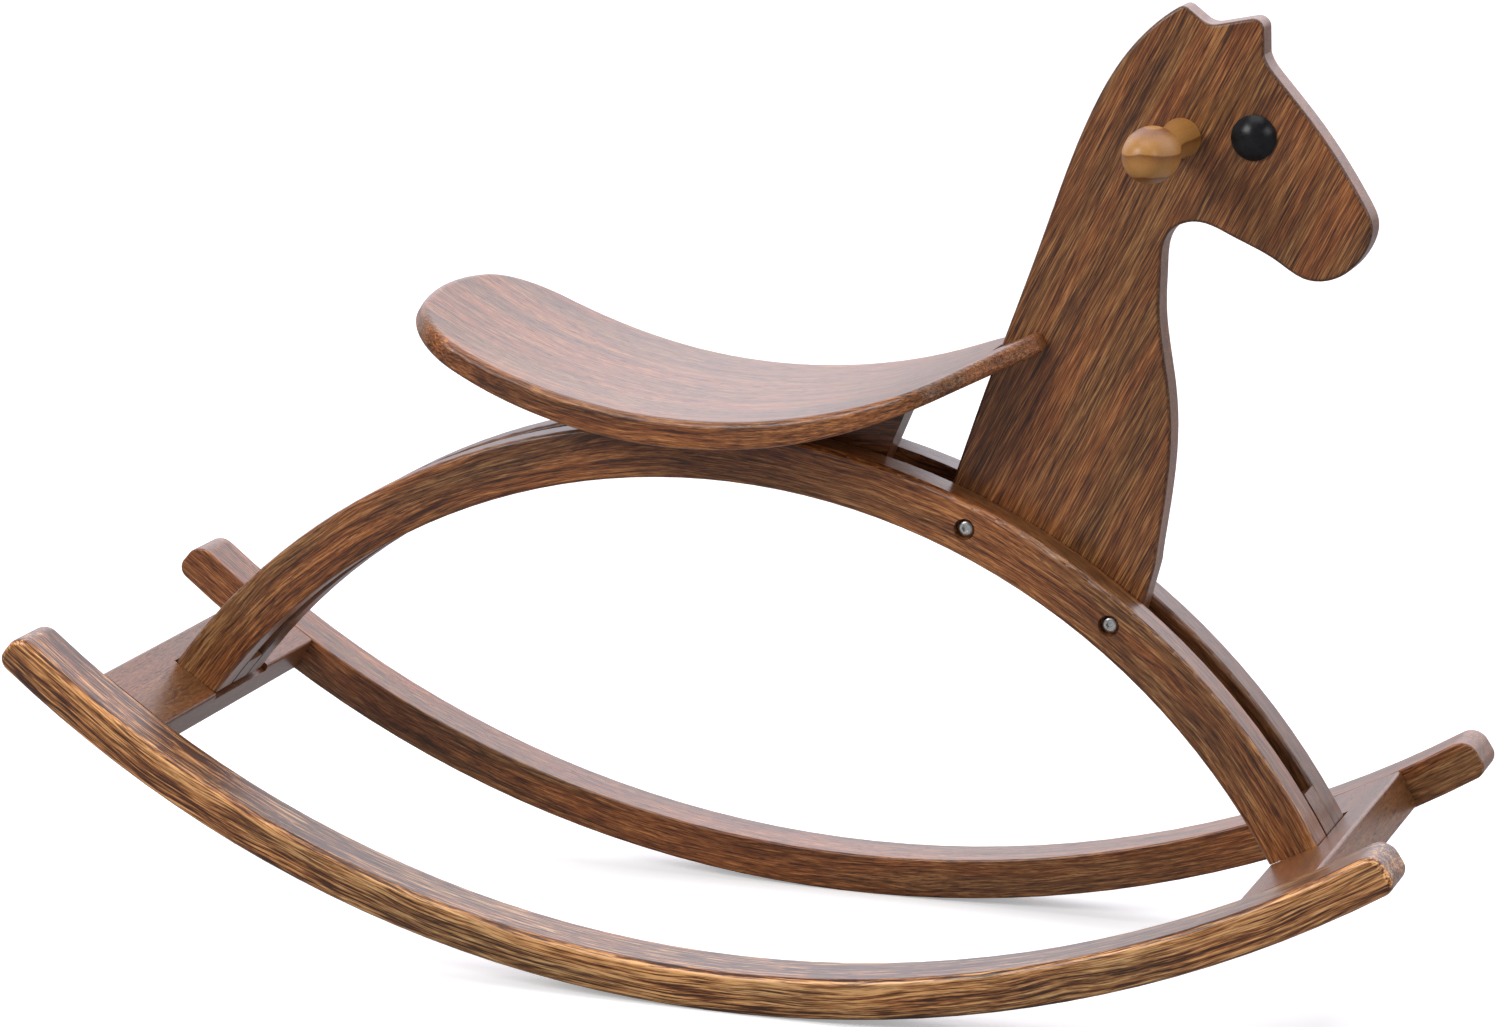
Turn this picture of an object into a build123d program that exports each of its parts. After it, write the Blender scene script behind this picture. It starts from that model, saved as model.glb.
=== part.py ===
from build123d import *
import os
from math import sin, cos, radians

os.makedirs("parts", exist_ok=True)

# Toddler's wooden rocking horse, millimetres.
# +X is the way the horse faces, +Y its left side, +Z up. The origin is the point on the floor that
# the rockers stand on, midway between them. The horse is a little nose-heavy, so it comes to rest
# tipped forward by balance_tilt. Outlines are drawn on planes that lean with it.

balance_tilt = 3.28

# rockers and the boards that join them
rocker_radius = 735.5
rocker_depth = 25
rocker_width = 36
rocker_tip_angle = 36.43
rocker_gap = 215.7
rocker_tip_top_round = 11
rocker_tip_sole_round = 8
rocker_outer_edge_round = 4
rocker_inner_edge_round = 1.5

crossbar_width = 51
crossbar_depth = 24
front_crossbar_angle, rear_crossbar_angle = 30.22, -30.7
crossbar_top_round = 2
crossbar_sole_round = 1.5
housing_depth = 6.5
housing_right_gap = 0.6
housing_left_gap = 5
housing_reach = 7.3
housing_end = 17.5
toe_gap_depth = 4.5
front_feet_shift, rear_feet_shift = 0, 2.2
frame_offset = -0.33

# pair of arches with a slot between them
arch_x = -5
arch_z = -113.9
arch_radius = 438.6
arch_depth = 32.1
arch_width = 25
arch_edge_round = 3
board_thickness = 20
foot_block_angle = 53.5

# head panel
head_edge_round = 2
rear_ear, ear_notch, front_ear = (239, 602), (254.4, 591.4), (286.2, 599.8)
rear_ear_round, ear_notch_round, front_ear_round = 5, 11, 6.5
eye_x, eye_z = 286.3, 530.2
eye_diameter = 26.4
eye_rise = 7.5
eye_pin_diameter = 6
eye_pin_length = 8
grip_x, grip_z = 243.5, 525.2
grip_base_diameter = 23.6
grip_waist_diameter = 20.4
grip_waist_length = 28
grip_knob_diameter = 32.4
grip_knob_length = 65
grip_length = 87
neck_bolt_angles = (19.65, 33.55)

# seat
seat_top_x, seat_top_z, seat_top_radius = -36.2, 693.6, 353.1
seat_sole_x, seat_sole_z, seat_sole_radius = -38.9, 642.2, 319.3
seat_top_edge_round = 4
seat_sole_edge_round = 3
seat_slot_x = 139.5

# hardware
bolt_shank = 6
bolt_clearance = 6.6
bolt_head_diameter = 10.5
bolt_head_height = 3.3
bolt_head_recess = 2.6
bolt_socket = 4
counterbore_diameter = 12.8
sleeve_diameter = 8
dowel_diameter = 8
dowel_length = 44
rib_dowel_depth = 15
foot_dowel_depth = 8
grip_dowel_diameter = 10
grip_dowel_length = 84
screw_shank = 5
screw_head_diameter = 9.4
screw_head_height = 2.8
foot_screw_length = 60
seat_screw_length = 40

rocker_front_tip = frame_offset + rocker_tip_angle
rocker_rear_tip = frame_offset - rocker_tip_angle

tilt = radians(balance_tilt)
forward = (cos(tilt), 0, -sin(tilt))
upward = (sin(tilt), 0, cos(tilt))
rocker_foot = (-rocker_radius * sin(tilt), 0, rocker_radius * (1 - cos(tilt)))

# side: outline x runs forward and y up, and offset() moves towards the horse's right (-Y)
side = Plane(origin=rocker_foot, x_dir=forward, z_dir=(0, -1, 0))
# plan: outline x runs forward and y to the horse's left, and offset() moves up
plan = Plane(origin=rocker_foot, x_dir=forward, z_dir=upward)

rocker_inner = rocker_gap / 2
rocker_outer = rocker_inner + rocker_width
arch_inner = board_thickness / 2
arch_outer = arch_inner + arch_width
arch_middle = arch_inner + arch_width / 2
rail_top_radius = rocker_radius - rocker_depth
crossbar_radius = rail_top_radius + crossbar_depth / 2
crossbar_sole_radius = rail_top_radius + crossbar_depth
foot_radius = rail_top_radius + housing_depth


def on_rocker(radius, angle):
    """Point at a radius from the rockers' centre, angle in degrees forward of straight down."""
    return (radius * sin(radians(angle)), rocker_radius - radius * cos(radians(angle)))


def on_arch(radius, angle):
    """Point at a radius from the arches' centre, angle in degrees forward of straight up."""
    return (arch_x + radius * sin(radians(angle)), arch_z + radius * cos(radians(angle)))


def on_seat_top(x):
    """Height of the seat's upper arc."""
    return seat_top_z - (seat_top_radius**2 - (x - seat_top_x) ** 2) ** 0.5


def on_seat_sole(x):
    """Height of the seat's lower arc."""
    return seat_sole_z - (seat_sole_radius**2 - (x - seat_sole_x) ** 2) ** 0.5


def crossbar_dowel_points(angle):
    """Two dowel centres in the end of a crossbar."""
    return [on_rocker(crossbar_radius, angle - 1.0), on_rocker(crossbar_radius, angle + 1.0)]


def drill(plane, points, diameter, depth):
    """Round blind holes from a plane, going in against the way it faces (negative depth: the other way)."""
    start = Align.MAX if depth > 0 else Align.MIN
    with Locations(*[plane.location * Location((x, z, 0)) for x, z in points]):
        Cylinder(diameter / 2, abs(depth), align=(Align.CENTER, Align.CENTER, start), mode=Mode.SUBTRACT)


def screws(planes, length):
    """Plain-shanked countersunk screws, heads flush with their planes and points the way they face."""
    with Locations(*planes):
        Cylinder(screw_shank / 2, length, align=(Align.CENTER, Align.CENTER, Align.MIN))
        Cone(screw_head_diameter / 2, screw_shank / 2, screw_head_height,
             align=(Align.CENTER, Align.CENTER, Align.MIN))


def screw_holes(planes, length):
    """The holes those screws fill."""
    with Locations(*planes):
        Cylinder(screw_shank / 2, length, align=(Align.CENTER, Align.CENTER, Align.MIN), mode=Mode.SUBTRACT)
        Cone(screw_head_diameter / 2, screw_shank / 2, screw_head_height,
             align=(Align.CENTER, Align.CENTER, Align.MIN), mode=Mode.SUBTRACT)


def facing(point, across, turn):
    """Plane at a point of the side outline, facing straight up and then turned back by turn degrees."""
    x, z = point
    lean = radians(turn)
    base = side.offset(-across).from_local_coords((x, z, 0))
    normal = Vector(*upward) * cos(lean) - Vector(*forward) * sin(lean)
    return Plane(origin=base, x_dir=(0, 1, 0), z_dir=normal)


seat_screw_angles = (-5.3, -1.1)
foot_screws_front = [
    facing(on_rocker(crossbar_sole_radius, front_crossbar_angle - 0.75), across, front_crossbar_angle)
    for across in (-arch_middle, arch_middle)
]
foot_screws_rear = [
    facing(on_rocker(crossbar_sole_radius, rear_crossbar_angle + 0.55), across, rear_crossbar_angle)
    for across in (-arch_middle, arch_middle)
]
seat_screw_planes = [
    facing(on_arch(arch_radius - arch_depth, angle), across, -angle)
    for angle in seat_screw_angles
    for across in (-arch_middle, arch_middle)
]

crossbar_dowels_front = crossbar_dowel_points(front_crossbar_angle)
crossbar_dowels_rear = crossbar_dowel_points(rear_crossbar_angle)
neck_bolt_points = [on_arch(arch_radius - arch_depth / 2, angle) for angle in neck_bolt_angles]
foot_dowel_points = [on_arch(arch_radius - arch_depth / 2, angle) for angle in (54.6, -54.6)]
rib_dowel_points = [on_arch(arch_radius - arch_depth / 2, angle) for angle in (-9, 6)]


# ---------------------------------------------------------------- rockers


def rocker_outline():
    """Side view of one rocker: a bent rail with rounded tips."""
    with BuildLine() as rail:
        sole = ThreePointArc(
            on_rocker(rocker_radius, rocker_rear_tip),
            on_rocker(rocker_radius, 0),
            on_rocker(rocker_radius, rocker_front_tip),
        )
        top = ThreePointArc(
            on_rocker(rail_top_radius, rocker_rear_tip),
            on_rocker(rail_top_radius, 0),
            on_rocker(rail_top_radius, rocker_front_tip),
        )
        Line(sole @ 0, top @ 0)
        Line(sole @ 1, top @ 1)
    make_face(rail.edges())
    fillet(vertices().sort_by(Axis.X)[0], rocker_tip_sole_round)
    fillet(vertices().sort_by(Axis.X)[-1], rocker_tip_sole_round)
    fillet(vertices().sort_by(Axis.Y)[-2:], rocker_tip_top_round)


with BuildPart() as right_rocker:
    with BuildSketch(side.offset(rocker_inner)):
        rocker_outline()
    extrude(amount=rocker_width)
    fillet(right_rocker.faces().filter_by(Axis.Y).sort_by(Axis.Y)[0].edges(), rocker_outer_edge_round)
    fillet(right_rocker.faces().filter_by(Axis.Y).sort_by(Axis.Y)[-1].edges(), rocker_inner_edge_round)
    all_dowels = crossbar_dowels_front + crossbar_dowels_rear
    drill(side.offset(rocker_inner), all_dowels, dowel_diameter, -dowel_length / 2)

with BuildPart() as left_rocker:
    mirror(right_rocker.part, about=Plane.XZ)

# ---------------------------------------------------------------- crossbars


def crossbar_outline(angle):
    """End view of one crossbar, lying along the rockers at an angle."""
    with Locations(on_rocker(crossbar_radius, angle)):
        Rectangle(crossbar_width, crossbar_depth, rotation=angle)


def beside(radius, angle, reach):
    """Point at a radius from the rockers' centre, and then a reach outwards along the crossbar's top."""
    outward = reach if angle > 0 else -reach
    return Vector(*on_rocker(radius, angle)) + Vector(cos(radians(angle)), sin(radians(angle))) * outward


def housing_outline(angle, shift):
    """Housing that the arch feet stand in, with a gap under their toes that runs out of the inner side."""
    for depth, length in ((housing_depth, housing_reach + housing_end), (toe_gap_depth, crossbar_width)):
        with Locations(beside(rail_top_radius + depth - 10, angle, shift + housing_reach - length / 2)):
            Rectangle(length, 20, rotation=angle)


def upright(angle):
    """Axis square to the top of a crossbar."""
    lean = radians(angle)
    return Axis((0, 0, 0), Vector(*upward) * cos(lean) - Vector(*forward) * sin(lean))


with BuildPart() as front_crossbar:
    with BuildSketch(side):
        crossbar_outline(front_crossbar_angle)
    extrude(amount=rocker_inner, both=True)
    long_edges = front_crossbar.edges().filter_by(Axis.Y).sort_by(upright(front_crossbar_angle))
    fillet(long_edges[-2:], crossbar_top_round)
    fillet(long_edges[:2], crossbar_sole_round)
    with BuildSketch(side.offset(-arch_outer - housing_left_gap)):
        housing_outline(front_crossbar_angle, front_feet_shift)
    extrude(amount=2 * arch_outer + housing_left_gap + housing_right_gap, mode=Mode.SUBTRACT)
    drill(side.offset(rocker_inner), crossbar_dowels_front, dowel_diameter, dowel_length / 2)
    drill(side.offset(-rocker_inner), crossbar_dowels_front, dowel_diameter, -dowel_length / 2)
    screw_holes(foot_screws_front, crossbar_depth)

with BuildPart() as rear_crossbar:
    with BuildSketch(side):
        crossbar_outline(rear_crossbar_angle)
    extrude(amount=rocker_inner, both=True)
    long_edges = rear_crossbar.edges().filter_by(Axis.Y).sort_by(upright(rear_crossbar_angle))
    fillet(long_edges[-2:], crossbar_top_round)
    fillet(long_edges[:2], crossbar_sole_round)
    with BuildSketch(side.offset(-arch_outer - housing_left_gap)):
        housing_outline(rear_crossbar_angle, rear_feet_shift)
    extrude(amount=2 * arch_outer + housing_left_gap + housing_right_gap, mode=Mode.SUBTRACT)
    drill(side.offset(rocker_inner), crossbar_dowels_rear, dowel_diameter, dowel_length / 2)
    drill(side.offset(-rocker_inner), crossbar_dowels_rear, dowel_diameter, -dowel_length / 2)
    screw_holes(foot_screws_rear, crossbar_depth)

# dowels that tie the crossbars to the rockers, two at each joint
with BuildPart() as crossbar_dowels:
    with BuildSketch(side.offset(rocker_inner), side.offset(-rocker_inner)):
        with Locations(*all_dowels):
            Circle(dowel_diameter / 2)
    extrude(amount=dowel_length / 2, both=True)

# ---------------------------------------------------------------- arches and the boards between them


def trim_to_housings():
    """Take what is below the floors of the two housings off the sketch, and what would fill the gaps."""
    for angle, shift in ((front_crossbar_angle, front_feet_shift), (rear_crossbar_angle, rear_feet_shift)):
        with Locations(on_rocker(foot_radius + 600, angle)):
            Rectangle(2000, 1200, rotation=angle, mode=Mode.SUBTRACT)
        with Locations(beside(rail_top_radius + 50, angle, shift - housing_end - 50)):
            Rectangle(100, 100, rotation=angle, mode=Mode.SUBTRACT)


def arch_band():
    """Band between the outer and inner curves of the arches."""
    with Locations((arch_x, arch_z)):
        Circle(arch_radius)
        Circle(arch_radius - arch_depth, mode=Mode.SUBTRACT)


with BuildPart() as right_arch:
    with BuildSketch(side.offset(arch_inner)):
        arch_band()
        trim_to_housings()
    extrude(amount=arch_width)
    fillet(right_arch.edges().filter_by(GeomType.CIRCLE), arch_edge_round)
    with BuildSketch(side):
        with Locations((seat_sole_x, seat_sole_z)):
            Circle(seat_sole_radius)
    extrude(amount=arch_outer, mode=Mode.SUBTRACT)
    drill(side.offset(arch_inner), rib_dowel_points, dowel_diameter, -rib_dowel_depth)
    drill(side.offset(arch_inner), foot_dowel_points, dowel_diameter, -foot_dowel_depth)
    drill(side.offset(arch_outer), neck_bolt_points, bolt_clearance, arch_width)
    counterbore_depth = bolt_head_recess + bolt_head_height
    drill(side.offset(arch_outer), neck_bolt_points, counterbore_diameter, counterbore_depth)
    screw_holes(foot_screws_front + foot_screws_rear, foot_screw_length)
    screw_holes(seat_screw_planes, seat_screw_length)

with BuildPart() as left_arch:
    mirror(right_arch.part, about=Plane.XZ)
    drill(side.offset(-arch_inner), neck_bolt_points, sleeve_diameter, arch_width)

with BuildPart() as front_foot_block:
    with BuildSketch(side):
        arch_band()
        trim_to_housings()
        with Locations(Location((arch_x, arch_z), 90 - foot_block_angle)):
            Rectangle(1000, 1000, align=(Align.CENTER, Align.MIN), mode=Mode.SUBTRACT)
    extrude(amount=arch_inner, both=True)
    drill(side.offset(arch_inner), foot_dowel_points[:1], dowel_diameter, board_thickness)

with BuildPart() as rear_foot_block:
    with BuildSketch(side):
        arch_band()
        trim_to_housings()
        with Locations(Location((arch_x, arch_z), foot_block_angle - 90)):
            Rectangle(1000, 1000, align=(Align.CENTER, Align.MIN), mode=Mode.SUBTRACT)
    extrude(amount=arch_inner, both=True)
    drill(side.offset(arch_inner), foot_dowel_points[1:], dowel_diameter, board_thickness)

with BuildPart() as foot_block_dowels:
    with BuildSketch(side):
        with Locations(*foot_dowel_points):
            Circle(dowel_diameter / 2)
    extrude(amount=arch_inner + foot_dowel_depth, both=True)

with BuildPart() as foot_screws:
    screws(foot_screws_front + foot_screws_rear, foot_screw_length)

# ---------------------------------------------------------------- seat and the rib that carries it

seat_rear_x = -240
top_turn_x, sole_turn_x = 135, 108
nose_length = 85
nose_x, nose_half_width = 168, 18


def rim(surfaces):
    """Outer edges of the seat's upper or lower surface, without the seam across it."""
    return ShapeList([e for e in surfaces.edges() if e.geom_type != GeomType.LINE or e.length < 50])


def seat_outline(height):
    """Plan of the seat's edge where it crosses a height; the edge is cut square to the dished top."""

    def edge(x, y):
        flat_x = min(x, top_turn_x)
        lean = (flat_x - seat_top_x) / (seat_top_z - on_seat_top(flat_x))
        top = on_seat_top(flat_x) + lean * (x - flat_x)
        return (x + lean * (top - height), y)

    with BuildLine() as plan_line:
        back = ThreePointArc(edge(-205.6, -46), edge(-210, 0), edge(-205.6, 46))
        hip = TangentArc(edge(-205.6, 46), edge(-166, 89), tangent=back % 1)
        flank = TangentArc(edge(-166, 89), edge(20, 91.8), tangent=hip % 1)
        thigh = TangentArc(edge(20, 91.8), edge(103, 84.5), tangent=flank % 1)
        TangentArc(edge(103, 84.5), edge(128, 67.5), tangent=thigh % 1)
        Line(edge(128, 67.5), edge(nose_x, nose_half_width))
        mirror(about=Plane.XZ)
        Line(edge(nose_x, nose_half_width), edge(nose_x, -nose_half_width))
    make_face(plan_line.edges())
    fillet(vertices().group_by(Axis.X)[-1], 7)


with BuildPart() as seat:
    with BuildSketch(side):
        with BuildLine():
            top = ThreePointArc(
                (seat_rear_x, on_seat_top(seat_rear_x)),
                (seat_top_x, on_seat_top(seat_top_x)),
                (top_turn_x, on_seat_top(top_turn_x)),
            )
            sole = ThreePointArc(
                (seat_rear_x, on_seat_sole(seat_rear_x)),
                (seat_sole_x, on_seat_sole(seat_sole_x)),
                (sole_turn_x, on_seat_sole(sole_turn_x)),
            )
            top_nose = Line(top @ 1, top @ 1 + (top % 1) * nose_length)
            sole_nose = Line(sole @ 1, sole @ 1 + (sole % 1) * nose_length)
            Line(top @ 0, sole @ 0)
            Line(top_nose @ 1, sole_nose @ 1)
        make_face()
    extrude(amount=120, both=True)
    with BuildSketch(plan.offset(310)):
        seat_outline(310)
    with BuildSketch(plan.offset(415)):
        seat_outline(415)
    loft(ruled=True, mode=Mode.INTERSECT)
    upper_faces = seat.faces().filter_by(lambda f: f.normal_at().dot(Vector(*upward)) > 0.5)
    fillet(rim(upper_faces), seat_top_edge_round)
    lower_faces = seat.faces().filter_by(lambda f: f.normal_at().dot(Vector(*upward)) < -0.5)
    lower_faces = lower_faces.sort_by(SortBy.AREA)[-2:]
    fillet(rim(lower_faces), seat_sole_edge_round)
    with BuildSketch(plan.offset(250)):
        with Locations((seat_slot_x, 0)):
            Rectangle(60, board_thickness + 0.6, align=(Align.MIN, Align.CENTER))
    extrude(amount=250, mode=Mode.SUBTRACT)
    screw_holes(seat_screw_planes, seat_screw_length)

with BuildPart() as seat_rib:
    with BuildSketch(side):
        arch_band()
        with Locations((arch_x, arch_z)):
            Circle(arch_radius + 60)
            Circle(arch_radius - arch_depth, mode=Mode.SUBTRACT)
        with BuildLine():
            Polyline((-128, 345), (-97, 250), (55, 250), (92, 352), (-128, 345))
        make_face(mode=Mode.INTERSECT)
        with Locations((seat_sole_x, seat_sole_z)):
            Circle(seat_sole_radius, mode=Mode.SUBTRACT)
    extrude(amount=arch_inner, both=True)
    drill(side.offset(arch_inner), rib_dowel_points, dowel_diameter, board_thickness)

with BuildPart() as rib_dowels:
    with BuildSketch(side):
        with Locations(*rib_dowel_points):
            Circle(dowel_diameter / 2)
    extrude(amount=arch_inner + rib_dowel_depth, both=True)

with BuildPart() as seat_screws:
    screws(seat_screw_planes, seat_screw_length)

# ---------------------------------------------------------------- head

with BuildPart() as head_panel:
    with BuildSketch(side):
        with BuildLine():
            crest = Spline(
                (112.3, 274.6), (135, 357.8), (164.2, 455.2), (190.1, 537.4), (208.2, 571.9), rear_ear,
                tangents=((0.27, 1), (0.86, 0.52)),
            )
            Polyline(rear_ear, ear_notch, front_ear, (288.2, 578))
            face = Spline(
                (288.2, 578), (296.5, 566.2), (322.2, 539.2), (352.4, 499.8), (358.8, 487), (355, 469.4),
                (341, 454.6), (323.5, 451.4), (304.4, 460.5), (277.6, 471.6), (254, 477.3), (241.4, 470.8),
                (237.2, 446), (238.3, 422.5), (246.6, 381), (251, 327.5), (247.5, 277.5),
                on_arch(arch_radius - arch_depth, 36.3),
                tangents=((0.35, -1), (-0.2, -1)),
            )
            ThreePointArc(
                on_arch(arch_radius - arch_depth, 36.3),
                on_arch(arch_radius - arch_depth, 26),
                crest @ 0,
            )
        make_face()
        for corner, radius in (
            (rear_ear, rear_ear_round), (ear_notch, ear_notch_round), (front_ear, front_ear_round),
        ):
            fillet(vertices().sort_by_distance(corner)[0], radius)
    extrude(amount=arch_inner, both=True)
    fillet(head_panel.faces().filter_by(Axis.Y).edges(), head_edge_round)
    drill(side.offset(arch_inner), neck_bolt_points, sleeve_diameter, board_thickness)
    drill(side.offset(arch_inner), [(grip_x, grip_z)], grip_dowel_diameter, board_thickness)
    drill(side.offset(arch_inner), [(eye_x, eye_z)], eye_pin_diameter, eye_pin_length)
    drill(side.offset(-arch_inner), [(eye_x, eye_z)], eye_pin_diameter, -eye_pin_length)

# domed eye with a pin pushed into the panel
eye_level = plan.offset(eye_z)
eye_axis = Axis(eye_level.from_local_coords((eye_x, 0, 0)), (0, 1, 0))

with BuildPart() as right_eye:
    with BuildSketch(eye_level):
        with BuildLine():
            Polyline(
                (eye_x, -arch_inner + eye_pin_length),
                (eye_x + eye_pin_diameter / 2, -arch_inner + eye_pin_length),
                (eye_x + eye_pin_diameter / 2, -arch_inner),
                (eye_x + eye_diameter / 2, -arch_inner),
                (eye_x + eye_diameter / 2, -arch_inner - 1.5),
            )
            TangentArc(
                (eye_x, -arch_inner - eye_rise),
                (eye_x + eye_diameter / 2, -arch_inner - 1.5),
                tangent=(1, 0),
            )
            Line((eye_x, -arch_inner - eye_rise), (eye_x, -arch_inner + eye_pin_length))
        make_face()
    revolve(axis=eye_axis)

with BuildPart() as left_eye:
    mirror(right_eye.part, about=Plane.XZ)

# turned hand grip: a waisted stem that swells into an egg-shaped knob
grip_level = plan.offset(grip_z)
grip_axis = Axis(grip_level.from_local_coords((grip_x, 0, 0)), (0, 1, 0))
grip_tip = -arch_inner - grip_length
grip_knob_y = -arch_inner - grip_knob_length

with BuildPart() as right_grip:
    with BuildSketch(grip_level):
        with BuildLine():
            Line((grip_x, -arch_inner), (grip_x + grip_base_diameter / 2, -arch_inner))
            Spline(
                (grip_x + grip_base_diameter / 2, -arch_inner),
                (grip_x + grip_waist_diameter / 2, -arch_inner - grip_waist_length),
                (grip_x + 12.2, grip_knob_y + 19),
                (grip_x + 15.2, grip_knob_y + 9),
                (grip_x + grip_knob_diameter / 2, grip_knob_y),
                (grip_x + 13.2, grip_knob_y - 13),
                (grip_x, grip_tip),
                tangents=((-0.15, -1), (-1, 0)),
            )
            Line((grip_x, grip_tip), (grip_x, -arch_inner))
        make_face()
    revolve(axis=grip_axis)
    dowel_reach = (grip_dowel_length - board_thickness) / 2
    drill(side.offset(arch_inner), [(grip_x, grip_z)], grip_dowel_diameter, -dowel_reach)

with BuildPart() as left_grip:
    mirror(right_grip.part, about=Plane.XZ)

with BuildPart() as grip_dowel:
    with BuildSketch(side):
        with Locations((grip_x, grip_z)):
            Circle(grip_dowel_diameter / 2)
    extrude(amount=grip_dowel_length / 2, both=True)

# ---------------------------------------------------------------- bolts through the neck

head_seat = arch_outer - bolt_head_recess - bolt_head_height
sleeve_end = -1
shank_end = 22

with BuildPart() as neck_bolts:
    with BuildSketch(side.offset(head_seat)):
        with Locations(*neck_bolt_points):
            Circle(bolt_head_diameter / 2)
    extrude(amount=bolt_head_height)
    fillet(neck_bolts.faces().sort_by(Axis.Y)[:2].edges(), bolt_head_height * 0.75)
    with BuildSketch(side.offset(head_seat + bolt_head_height)):
        with Locations(*neck_bolt_points):
            RegularPolygon(bolt_socket / 2, 6, major_radius=False)
    extrude(amount=-2, mode=Mode.SUBTRACT)
    with BuildSketch(side.offset(head_seat)):
        with Locations(*neck_bolt_points):
            Circle(bolt_shank / 2)
    extrude(amount=-head_seat - shank_end)

with BuildPart() as neck_sleeve_nuts:
    with BuildSketch(side.offset(-head_seat)):
        with Locations(*neck_bolt_points):
            Circle(bolt_head_diameter / 2)
    extrude(amount=-bolt_head_height)
    fillet(neck_sleeve_nuts.faces().sort_by(Axis.Y)[-2:].edges(), bolt_head_height * 0.75)
    with BuildSketch(side.offset(-head_seat)):
        with Locations(*neck_bolt_points):
            Circle(sleeve_diameter / 2)
    extrude(amount=head_seat - sleeve_end)
    drill(side.offset(-sleeve_end), neck_bolt_points, bolt_shank, shank_end - sleeve_end)
    with BuildSketch(side.offset(-head_seat - bolt_head_height)):
        with Locations(*neck_bolt_points):
            RegularPolygon(bolt_socket / 2, 6, major_radius=False)
    extrude(amount=2, mode=Mode.SUBTRACT)

# ---------------------------------------------------------------- export

pieces = {
    "right_rocker": right_rocker,
    "left_rocker": left_rocker,
    "front_crossbar": front_crossbar,
    "rear_crossbar": rear_crossbar,
    "crossbar_dowels": crossbar_dowels,
    "right_arch": right_arch,
    "left_arch": left_arch,
    "front_foot_block": front_foot_block,
    "rear_foot_block": rear_foot_block,
    "foot_block_dowels": foot_block_dowels,
    "foot_screws": foot_screws,
    "seat": seat,
    "seat_rib": seat_rib,
    "rib_dowels": rib_dowels,
    "seat_screws": seat_screws,
    "head_panel": head_panel,
    "right_eye": right_eye,
    "left_eye": left_eye,
    "right_grip": right_grip,
    "left_grip": left_grip,
    "grip_dowel": grip_dowel,
    "neck_bolts": neck_bolts,
    "neck_sleeve_nuts": neck_sleeve_nuts,
}
for name, piece in pieces.items():
    piece.part.label = name
    export_step(piece.part, f"parts/{name}.step")
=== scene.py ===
from math import radians

import bpy
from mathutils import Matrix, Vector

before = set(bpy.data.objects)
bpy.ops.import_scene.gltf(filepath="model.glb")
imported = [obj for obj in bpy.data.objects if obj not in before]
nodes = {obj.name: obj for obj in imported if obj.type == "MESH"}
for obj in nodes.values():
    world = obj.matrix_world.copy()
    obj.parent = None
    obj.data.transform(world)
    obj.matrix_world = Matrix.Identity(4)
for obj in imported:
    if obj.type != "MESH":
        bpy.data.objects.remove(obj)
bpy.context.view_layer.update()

MM_PER_M = 1000.0
PORE_SHADE = (0.30, 0.27, 0.26, 1)
WOOD_IOR, VARNISH_IOR, SATIN = 1.38, 1.3, 0.30
PALE_WOOD_IOR = 1.4
# depths of relief in metres
STAINED_RELIEF, PALE_RELIEF, PLAIN_RELIEF = 0.00015, 0.0001, 0.00003

# ---------------------------------------------------------------- small helpers for shader trees


def add(tree, kind, *feeds, **settings):
    """A shader node; feeds are values or sockets for its inputs in order, and None leaves one alone."""
    made = tree.nodes.new("ShaderNode" + kind)
    for key, value in settings.items():
        setattr(made, key, value)
    for socket, feed in zip(made.inputs, feeds):
        connect(tree, socket, feed)
    return made


def connect(tree, socket, feed):
    """Links a socket to feed if that is a socket, and sets its value if not."""
    if isinstance(feed, bpy.types.NodeSocket):
        tree.links.new(feed, socket)
    elif feed is not None:
        socket.default_value = feed


def sums(tree, operation, *feeds, clamp=False):
    """Result of one Math node."""
    return add(tree, "Math", *feeds, operation=operation, use_clamp=clamp).outputs[0]


def square(tree, value):
    """A value times itself."""
    return sums(tree, "MULTIPLY", value, value)


def span(tree, value, low, high, to_low=0.0, to_high=1.0):
    """The value rescaled from low..high to to_low..to_high with soft ends."""
    made = add(tree, "MapRange", value, low, high, to_low, to_high, interpolation_type="SMOOTHSTEP")
    return made.outputs[0]


def blend(tree, factor, first, second, way="MIX"):
    """Two colours mixed by a factor."""
    made = add(tree, "Mix", data_type="RGBA", blend_type=way, clamp_factor=True)
    for index, feed in ((0, factor), (6, first), (7, second)):
        connect(tree, made.inputs[index], feed)
    return made.outputs[2]


def ramp(tree, value, stops):
    """A colour ramp; stops are (position, colour)."""
    made = add(tree, "ValToRGB", value)
    elements = made.color_ramp.elements
    while len(elements) < len(stops):
        elements.new(0.5)
    for element, (position, colour) in zip(elements, stops):
        element.position = position
        element.color = (*colour, 1)
    return made.outputs[0]


def noise(tree, grain, stretch, seed, detail=3.0, roughness=0.55):
    """Noise with features stretch = (along, across, through) millimetres long in the grain's frame."""
    scaled = [sums(tree, "DIVIDE", axis, size) for axis, size in zip(grain, stretch)]
    shifted = sums(tree, "ADD", scaled[2], seed)
    place = add(tree, "CombineXYZ", scaled[0], scaled[1], shifted).outputs[0]
    return add(tree, "TexNoise", place, None, 1.0, detail, roughness, noise_dimensions="3D").outputs[0]


def grained(tree, grain, along, across, seed, detail=3.0, roughness=0.55):
    """Noise drawn out along the grain and equally narrow both ways across it."""
    return noise(tree, grain, (along, across, across), seed, detail, roughness)


# ---------------------------------------------------------------- how the grain runs in each piece


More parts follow.
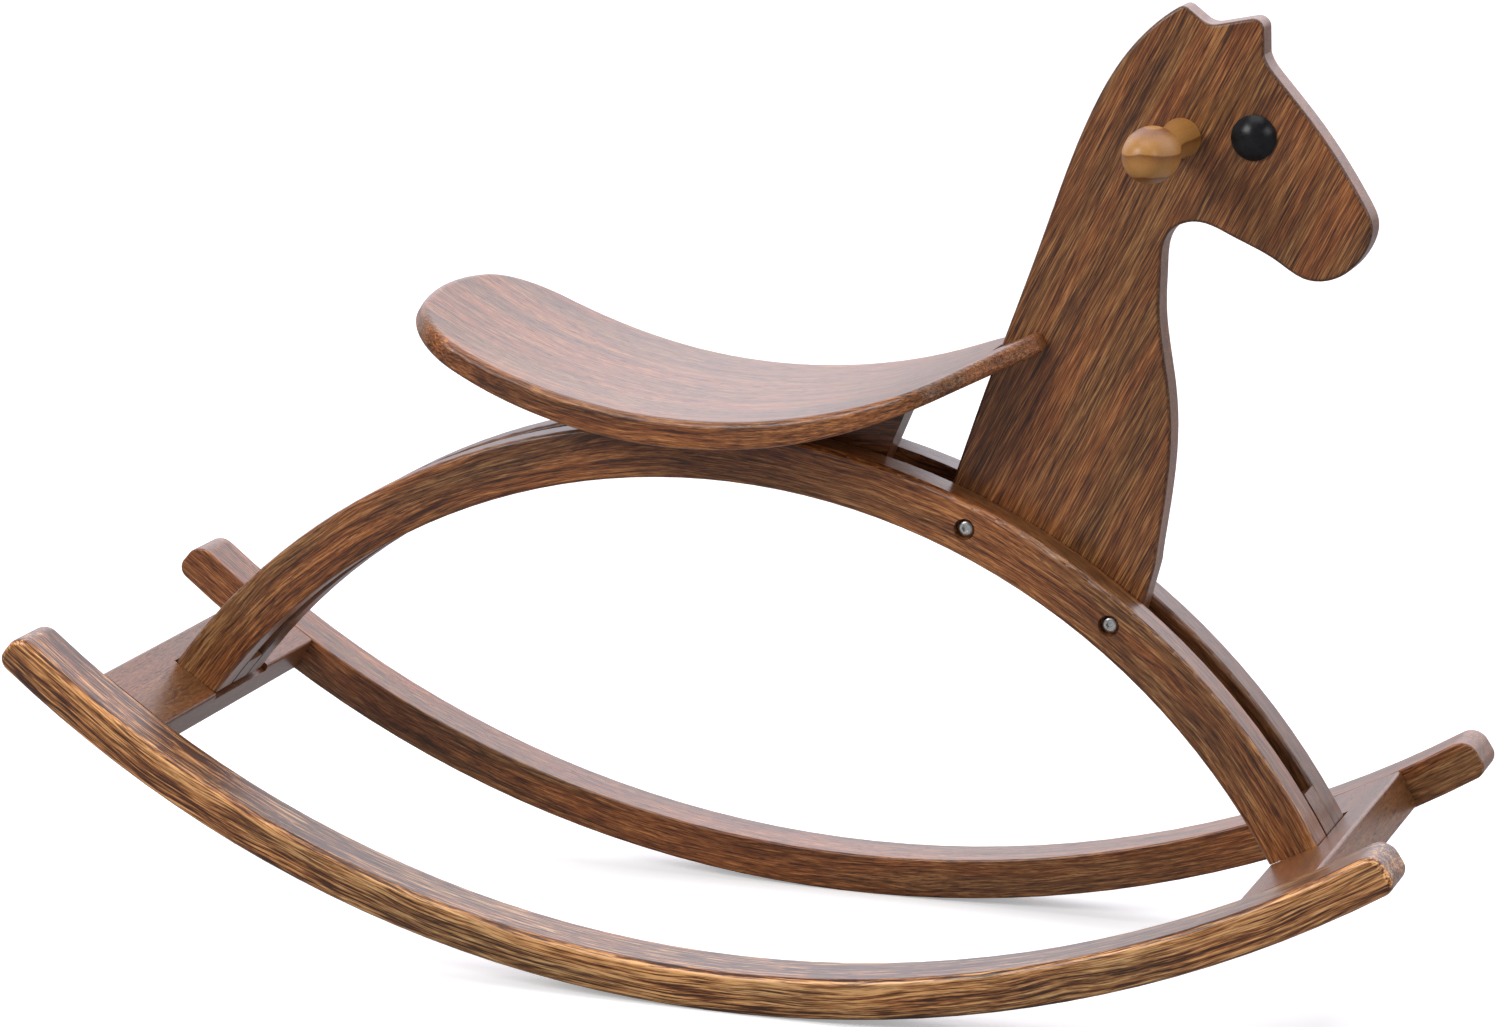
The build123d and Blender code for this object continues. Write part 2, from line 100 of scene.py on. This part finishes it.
def position(tree):
    """X, Y and Z of the surface in millimetres."""
    place = add(tree, "TexCoord").outputs["Object"]
    parts = add(tree, "SeparateXYZ", place).outputs
    return [sums(tree, "MULTIPLY", axis, MM_PER_M) for axis in parts]


def bent_grain(centre_x, centre_z, radius, hangs):
    """Grain of a board bent round a centre; it hangs below its centre or stands above it."""

    def make(tree):
        x, y, z = position(tree)
        dx = sums(tree, "SUBTRACT", x, centre_x)
        dz = sums(tree, "SUBTRACT", centre_z, z) if hangs else sums(tree, "SUBTRACT", z, centre_z)
        along = sums(tree, "MULTIPLY", sums(tree, "ARCTAN2", dx, dz), radius)
        reach = sums(tree, "SQRT", sums(tree, "ADD", square(tree, dx), square(tree, dz)))
        return [along, sums(tree, "SUBTRACT", reach, radius), y]

    return make


def turned_axes(tree, slope):
    """Distances along a slope in degrees above +X, square to it, and along Y."""
    x, y, z = position(tree)
    place = add(tree, "CombineXYZ", x, y, z).outputs[0]
    turned = add(tree, "VectorRotate", place, rotation_type="Y_AXIS")
    turned.inputs["Angle"].default_value = radians(slope)
    parts = add(tree, "SeparateXYZ", turned.outputs[0]).outputs
    return parts[0], parts[2], y


def straight_grain(slope):
    """Grain of a flat board that stands on edge, at a slope in degrees above +X."""

    def make(tree):
        return list(turned_axes(tree, slope))

    return make


def cross_grain(slope):
    """Grain of a piece that runs from side to side, its broad face at a slope in degrees above +X."""

    def make(tree):
        along, square_to, y = turned_axes(tree, slope)
        return [y, along, square_to]

    return make


# ---------------------------------------------------------------- materials


def start(name):
    """A new material's tree and its Principled shader."""
    made = bpy.data.materials.new(name)
    made.use_nodes = True
    tree = made.node_tree
    return made, tree, tree.nodes["Principled BSDF"]


def set_inputs(shader, **values):
    """Sets the shader's own sockets; a name's underscores stand for spaces."""
    for name, value in values.items():
        shader.inputs[name.replace("_", " ")].default_value = value


def emboss(tree, shader, height, strength, depth):
    """Bump on the shader's normal, depth in metres."""
    bump = add(tree, "Bump", strength, depth)
    connect(tree, bump.inputs["Height"], height)
    tree.links.new(bump.outputs[0], shader.inputs["Normal"])


def normal_axis(tree, index):
    """One component of the surface normal."""
    return add(tree, "SeparateXYZ", add(tree, "NewGeometry").outputs["Normal"]).outputs[index]


def rounding(tree):
    """0 on faces along Y or square to it, and 1 in the middle of the rounded edge between them."""
    across = normal_axis(tree, 1)
    rest = sums(tree, "SQRT", sums(tree, "SUBTRACT", 1.0, square(tree, across), clamp=True))
    lean = sums(tree, "MULTIPLY", sums(tree, "ABSOLUTE", across), rest)
    return span(tree, lean, 0.12, 0.45)


def stained_wood(name, grain_frame, stops, seed, pore=(8.0, 0.6), pore_depth=0.85,
                 warm=(1.10, 0.98, 0.88), cool=(0.90, 0.98, 1.05), band=(260.0, 11.0),
                 streak=(55.0, 1.8), fine=(15.0, 0.8), bias=None, weights=(0.45, 0.7, 1.5),
                 wander=12.0, gloss=(0.34, 0.50), edge=1.12):
    """Brown-stained open-pored hardwood under satin varnish.

    band, streak, fine and pore are the lengths along and across the grain of its layers of figure, in
    millimetres. weights are how much the first three shift the tone, and wander is how far the grain
    strays from its line. warm and cool tint it from place to place, and edge tints the rounded edges: a
    little above 1 as wear, well above 1 as a painted highlight and below 1 as a painted dark reflection.
    """
    material, tree, shader = start(name)
    grain = grain_frame(tree)
    sway = grained(tree, grain, 120.0, 40.0, seed + 3.0, 2.0)
    grain[1] = sums(tree, "MULTIPLY_ADD", sums(tree, "SUBTRACT", sway, 0.5), wander, grain[1])

    bands = grained(tree, grain, *band, seed, 3.0)
    streaks = grained(tree, grain, *streak, seed + 11.0, 4.0, 0.6)
    fines = grained(tree, grain, *fine, seed + 23.0, 3.0, 0.65)
    tone = 0.5
    for layer, weight in zip((bands, streaks, fines), weights):
        tone = sums(tree, "MULTIPLY_ADD", sums(tree, "SUBTRACT", layer, 0.5), weight, tone)
    if bias:
        tone = sums(tree, "ADD", tone, bias(tree, grain))
    colour = ramp(tree, tone, stops)

    warmth = span(tree, grained(tree, grain, 180.0, 26.0, seed + 31.0, 2.0), 0.35, 0.65)
    tint = blend(tree, warmth, (*cool, 1), (*warm, 1))
    colour = blend(tree, 1.0, colour, tint, "MULTIPLY")

    pores = span(tree, grained(tree, grain, *pore, seed + 47.0, 2.0, 0.5), 0.53, 0.64)
    patches = span(tree, grained(tree, grain, 70.0, 9.0, seed + 59.0, 2.0), 0.3, 0.62, 0.35, 1.0)
    pores = sums(tree, "MULTIPLY", pores, patches)
    dark = blend(tree, 1.0, colour, PORE_SHADE, "MULTIPLY")
    colour = blend(tree, sums(tree, "MULTIPLY", pores, pore_depth), colour, dark)

    # painted highlight and shade: rounded edges are tinted by edge, a little above 1 as real wear, well
    # above 1 as a painted highlight, below 1 as a painted dark reflection
    wear_and_sheen = sums(tree, "MULTIPLY", rounding(tree), span(tree, streaks, 0.35, 0.6, 0.3, 1.0))
    edge_wear_and_painted_light = blend(tree, 1.0, colour, (edge, edge * 0.98, edge * 0.94, 1), "MULTIPLY")
    tree.links.new(blend(tree, wear_and_sheen, colour, edge_wear_and_painted_light), shader.inputs["Base Color"])

    rough = span(tree, sums(tree, "MULTIPLY_ADD", pores, 0.5, fines), 0.3, 1.0, *gloss)
    tree.links.new(rough, shader.inputs["Roughness"])
    relief = sums(tree, "MULTIPLY_ADD", pores, -1.0, sums(tree, "MULTIPLY", fines, 0.25))
    emboss(tree, shader, relief, 0.35, STAINED_RELIEF)
    set_inputs(shader, IOR=WOOD_IOR, Coat_Weight=1.0, Coat_IOR=VARNISH_IOR, Coat_Roughness=SATIN)
    return material


def pale_wood(name, grain_frame, stops, seed, ring_centre, gloss=(0.38, 0.5), coat=0.25, spacing=6.0):
    """Pale hardwood with growth rings, spacing millimetres apart, round a pith outside the piece."""
    material, tree, shader = start(name)
    grain = grain_frame(tree)
    wobble = grained(tree, grain, 60.0, 18.0, seed, 2.0)
    far = [sums(tree, "SUBTRACT", axis, centre) for axis, centre in zip(grain[1:], ring_centre)]
    reach = sums(tree, "SQRT", sums(tree, "ADD", *[square(tree, axis) for axis in far]))
    reach = sums(tree, "MULTIPLY_ADD", wobble, 5.0, reach)
    phase = sums(tree, "FRACT", sums(tree, "DIVIDE", reach, spacing))
    late = sums(tree, "POWER", phase, 3.0)
    late = sums(tree, "MULTIPLY", late, span(tree, phase, 1.0, 0.93))
    fines = grained(tree, grain, 30.0, 0.8, seed + 7.0, 3.0, 0.6)
    drift = grained(tree, grain, 90.0, 14.0, seed + 13.0, 2.0)
    tone = sums(tree, "MULTIPLY_ADD", drift, 0.5, sums(tree, "MULTIPLY", late, 0.6))
    tone = sums(tree, "MULTIPLY_ADD", fines, 0.25, tone)
    tree.links.new(ramp(tree, tone, stops), shader.inputs["Base Color"])
    tree.links.new(span(tree, fines, 0.3, 0.7, *gloss), shader.inputs["Roughness"])
    relief = sums(tree, "ADD", fines, sums(tree, "MULTIPLY", late, -0.4))
    emboss(tree, shader, relief, 0.2, PALE_RELIEF)
    set_inputs(shader, IOR=PALE_WOOD_IOR, Coat_Weight=coat, Coat_Roughness=SATIN)
    return material


def plain_finish(name, light, dark, seed, size, rough, metal=0.0, index=1.5):
    """Plated steel or polished plastic, with faint mottling, fine scratches and uneven gloss."""
    material, tree, shader = start(name)
    grain = position(tree)
    mottle = noise(tree, grain, (size, size, size), seed, 4.0, 0.6)
    scratch = grained(tree, grain, size * 4, size * 0.12, seed + 5.0, 2.0)
    colour = blend(tree, span(tree, mottle, 0.35, 0.65), (*dark, 1), (*light, 1))
    tree.links.new(colour, shader.inputs["Base Color"])
    wear_and_sheen = sums(tree, "MULTIPLY_ADD", scratch, 0.6, sums(tree, "MULTIPLY", mottle, 0.4))
    tree.links.new(span(tree, wear_and_sheen, 0.3, 0.7, *rough), shader.inputs["Roughness"])
    emboss(tree, shader, scratch, 0.2, PLAIN_RELIEF)
    set_inputs(shader, Metallic=metal, IOR=index)
    return material


# colour ramps from the darkest figure to the palest, in linear colour
WALNUT = [
    (0.20, (0.042, 0.013, 0.004)), (0.42, (0.150, 0.052, 0.015)),
    (0.60, (0.235, 0.092, 0.028)), (0.85, (0.42, 0.205, 0.075)),
]
DARK_WALNUT = [
    (0.20, (0.036, 0.011, 0.004)), (0.42, (0.120, 0.040, 0.012)),
    (0.60, (0.185, 0.070, 0.022)), (0.85, (0.30, 0.135, 0.048)),
]
GOLDEN = [
    (0.20, (0.055, 0.018, 0.006)), (0.38, (0.22, 0.085, 0.026)),
    (0.55, (0.41, 0.195, 0.066)), (0.80, (0.72, 0.42, 0.18)),
]
HONEY = [(0.15, (0.52, 0.265, 0.075)), (0.45, (0.40, 0.185, 0.045)), (0.8, (0.22, 0.08, 0.016))]
BEECH = [(0.15, (0.60, 0.40, 0.22)), (0.8, (0.40, 0.23, 0.10))]
EYE_BLACK = (0.010, 0.011, 0.013), (0.006, 0.006, 0.007)
BOLT_ZINC = (0.66, 0.66, 0.64), (0.50, 0.50, 0.49)
SCREW_ZINC = (0.58, 0.58, 0.55), (0.42, 0.42, 0.40)
WARM_BROWN = (1.3, 1.12, 0.98)


def golden_shoulder_and_top_shade(tree, grain):
    """The rail's side is paler sapwood above and darker below, and where it faces up it is painted darker
    as shade.
    """
    shoulder = span(tree, grain[1], 15.0, 3.0, -0.08, 0.12)
    # painted shade: faces that point up are darkened
    return sums(tree, "ADD", shoulder, span(tree, normal_axis(tree, 2), 0.5, 0.9, 0.0, -0.32))


rocker_grain = bent_grain(centre_x=0.0, centre_z=735.5, radius=710.5, hangs=True)
arch_grain = bent_grain(centre_x=-53.6, centre_z=-112.2, radius=406.5, hangs=False)
seat_grain = bent_grain(centre_x=-38.5, centre_z=695.7, radius=353.1, hangs=True)

finishes = {
    # the right rocker's edge tint of 1.35 is a painted highlight along its rounded edges, beyond real wear
    "right_rocker": stained_wood(
        "right_rocker_wood", rocker_grain, GOLDEN, 1.0, bias=golden_shoulder_and_top_shade,
        weights=(0.7, 2.0, 1.6), edge=1.35, pore=(14.0, 0.7), fine=(22.0, 0.9)),
    "left_rocker": stained_wood(
        "left_rocker_wood", rocker_grain, WALNUT, 71.0, weights=(0.6, 1.0, 1.5), warm=(1.3, 1.1, 0.95)),
    "front_crossbar": stained_wood(
        "front_crossbar_wood", cross_grain(27.3), WALNUT, 141.0, weights=(0.4, 0.4, 0.8), fine=(6.0, 1.4)),
    "rear_crossbar": stained_wood(
        "rear_crossbar_wood", cross_grain(-33.8), WALNUT, 211.0, weights=(0.4, 0.4, 0.8), fine=(6.0, 1.4)),
    "right_arch": stained_wood(
        "right_arch_wood", arch_grain, WALNUT, 281.0, weights=(0.7, 1.1, 1.6), warm=WARM_BROWN),
    "left_arch": stained_wood("left_arch_wood", arch_grain, DARK_WALNUT, 351.0),
    "front_foot_block": stained_wood("front_block_wood", straight_grain(-50.0), DARK_WALNUT, 421.0),
    "rear_foot_block": stained_wood("rear_block_wood", straight_grain(50.0), DARK_WALNUT, 491.0),
    "seat": stained_wood("seat_wood", seat_grain, WALNUT, 561.0, weights=(0.6, 0.9, 1.5), warm=WARM_BROWN),
    "seat_rib": stained_wood("rib_wood", straight_grain(0.0), DARK_WALNUT, 631.0),
    # the head's edge tint of 0.45 paints dark reflections along its rounded edges
    "head_panel": stained_wood(
        "head_wood", straight_grain(63.0), WALNUT, 701.0, wander=4.0, weights=(0.4, 0.6, 1.9),
        pore=(15.0, 0.6), fine=(24.0, 0.75), streak=(60.0, 2.4), warm=(1.15, 0.97, 0.84),
        cool=(0.95, 1.0, 0.95), edge=0.45),
    "right_grip": pale_wood(
        "right_grip_wood", cross_grain(0.0), HONEY, 771.0, (230.0, 400.0), spacing=13.0),
    "left_grip": pale_wood("left_grip_wood", cross_grain(0.0), HONEY, 841.0, (230.0, 395.0), spacing=11.0),
    "right_eye": plain_finish("right_eye_black", *EYE_BLACK, 3.0, 4.0, (0.26, 0.34), index=1.3),
    "left_eye": plain_finish("left_eye_black", *EYE_BLACK, 9.0, 4.0, (0.26, 0.34), index=1.3),
    "neck_bolts": plain_finish("bolt_zinc", *BOLT_ZINC, 15.0, 3.0, (0.22, 0.40), metal=1.0),
    "neck_sleeve_nuts": plain_finish("nut_zinc", *BOLT_ZINC, 21.0, 3.0, (0.22, 0.40), metal=1.0),
    "foot_screws": plain_finish("foot_screw_zinc", *SCREW_ZINC, 27.0, 2.0, (0.28, 0.46), metal=1.0),
    "seat_screws": plain_finish("seat_screw_zinc", *SCREW_ZINC, 33.0, 2.0, (0.28, 0.46), metal=1.0),
}
# the dowels are bare beech, hidden once the horse is together
dowels = (
    ("crossbar_dowels", "crossbar_dowel_beech", 911.0),
    ("foot_block_dowels", "foot_dowel_beech", 921.0),
    ("rib_dowels", "rib_dowel_beech", 931.0),
    ("grip_dowel", "grip_dowel_beech", 941.0),
)
for node, name, seed in dowels:
    finishes[node] = pale_wood(
        name, cross_grain(0.0), BEECH, seed, (0.0, 60.0), gloss=(0.5, 0.65), coat=0.0)
for name, material in finishes.items():
    for slot in nodes[name].material_slots:
        slot.material = material

# ---------------------------------------------------------------- stage, light and camera

FLOOR_REACH = 40.0
floor_mesh = bpy.data.meshes.new("floor")
corners = [(x * FLOOR_REACH, y * FLOOR_REACH, 0) for x, y in ((-1, -1), (1, -1), (1, 1), (-1, 1))]
floor_mesh.from_pydata(corners, [], [(0, 1, 2, 3)])
floor = bpy.data.objects.new("floor", floor_mesh)
bpy.context.scene.collection.objects.link(floor)
floor_paint, tree, shader = start("floor_paint")
speckle = add(tree, "TexNoise", add(tree, "TexCoord").outputs["Object"], None, 40.0, 3.0).outputs[0]
paper = blend(tree, speckle, (0.90, 0.90, 0.90, 1), (0.93, 0.93, 0.93, 1))
# the floor and the world look white, but are dimmer where they light the horse or show in its varnish
looked_at = add(tree, "LightPath").outputs["Is Camera Ray"]
tree.links.new(blend(tree, looked_at, (0.3, 0.3, 0.3, 1), paper), shader.inputs["Base Color"])
tree.links.new(sums(tree, "MULTIPLY", looked_at, 0.35), shader.inputs["Emission Strength"])
set_inputs(shader, Emission_Color=(1, 1, 1, 1), Roughness=0.8, Specular_IOR_Level=0.1)
floor_mesh.materials.append(floor_paint)

world = bpy.data.worlds.new("studio")
bpy.context.scene.world = world
world.use_nodes = True
tree = world.node_tree
sky = tree.nodes["Background"]
facing = add(tree, "SeparateXYZ", add(tree, "TexCoord").outputs["Generated"]).outputs
# the room glows more behind the horse and less towards the floor, with a brighter part high at the back
glow = span(tree, facing[1], -0.5, 0.6, 0.15, 1.15)
glow = sums(tree, "MULTIPLY", glow, span(tree, facing[2], -0.05, 0.2, 0.45, 1.0))
height = span(tree, facing[2], 0.15, 0.45, 0.0, 0.75)
rise = sums(tree, "MULTIPLY", span(tree, facing[1], 0.0, 0.6), height)
glow = sums(tree, "ADD", glow, rise)
seen = add(tree, "LightPath").outputs["Is Camera Ray"]
unseen = sums(tree, "SUBTRACT", 1.0, seen)
strength = sums(tree, "ADD", seen, sums(tree, "MULTIPLY", glow, unseen))
sky.inputs["Color"].default_value = (0.97, 0.94, 1.02, 1)
tree.links.new(strength, sky.inputs["Strength"])


def softbox(name, place, aim, size, power):
    """A square lamp at place, turned towards aim; the camera doesn't see it."""
    lamp = bpy.data.lights.new(name, "AREA")
    lamp.shape = "SQUARE"
    lamp.size = size
    lamp.energy = power
    holder = bpy.data.objects.new(name, lamp)
    bpy.context.scene.collection.objects.link(holder)
    holder.location = place
    direction = Vector(aim) - Vector(place)
    holder.rotation_euler = direction.to_track_quat("-Z", "Y").to_euler()
    holder.visible_camera = False


softbox("top_light", (0.1, -0.5, 2.6), aim=(0, 0, 0.2), size=1.6, power=20)
softbox("key_light", (-1.5, -2.4, 2.0), aim=(0, 0, 0.3), size=1.2, power=62)
softbox("fill_light", (2.3, -1.6, 1.6), aim=(0, 0, 0.3), size=1.0, power=16)

# the photograph's view, found by fitting the camera to the horse's outline
CAMERA_PLACE = (0.96343, -2.79529, 0.96018)
CAMERA_DIP, CAMERA_TURN = 13.136, 19.655
FOCAL_LENGTH = 121.18

lens = bpy.data.cameras.new("camera")
lens.lens = FOCAL_LENGTH
lens.sensor_width = 36.0
lens.clip_end = 100.0
camera = bpy.data.objects.new("camera", lens)
bpy.context.scene.collection.objects.link(camera)
camera.location = CAMERA_PLACE
camera.rotation_euler = (radians(90 - CAMERA_DIP), 0, radians(CAMERA_TURN))
bpy.context.scene.camera = camera
bpy.context.scene.view_settings.view_transform = "Standard"
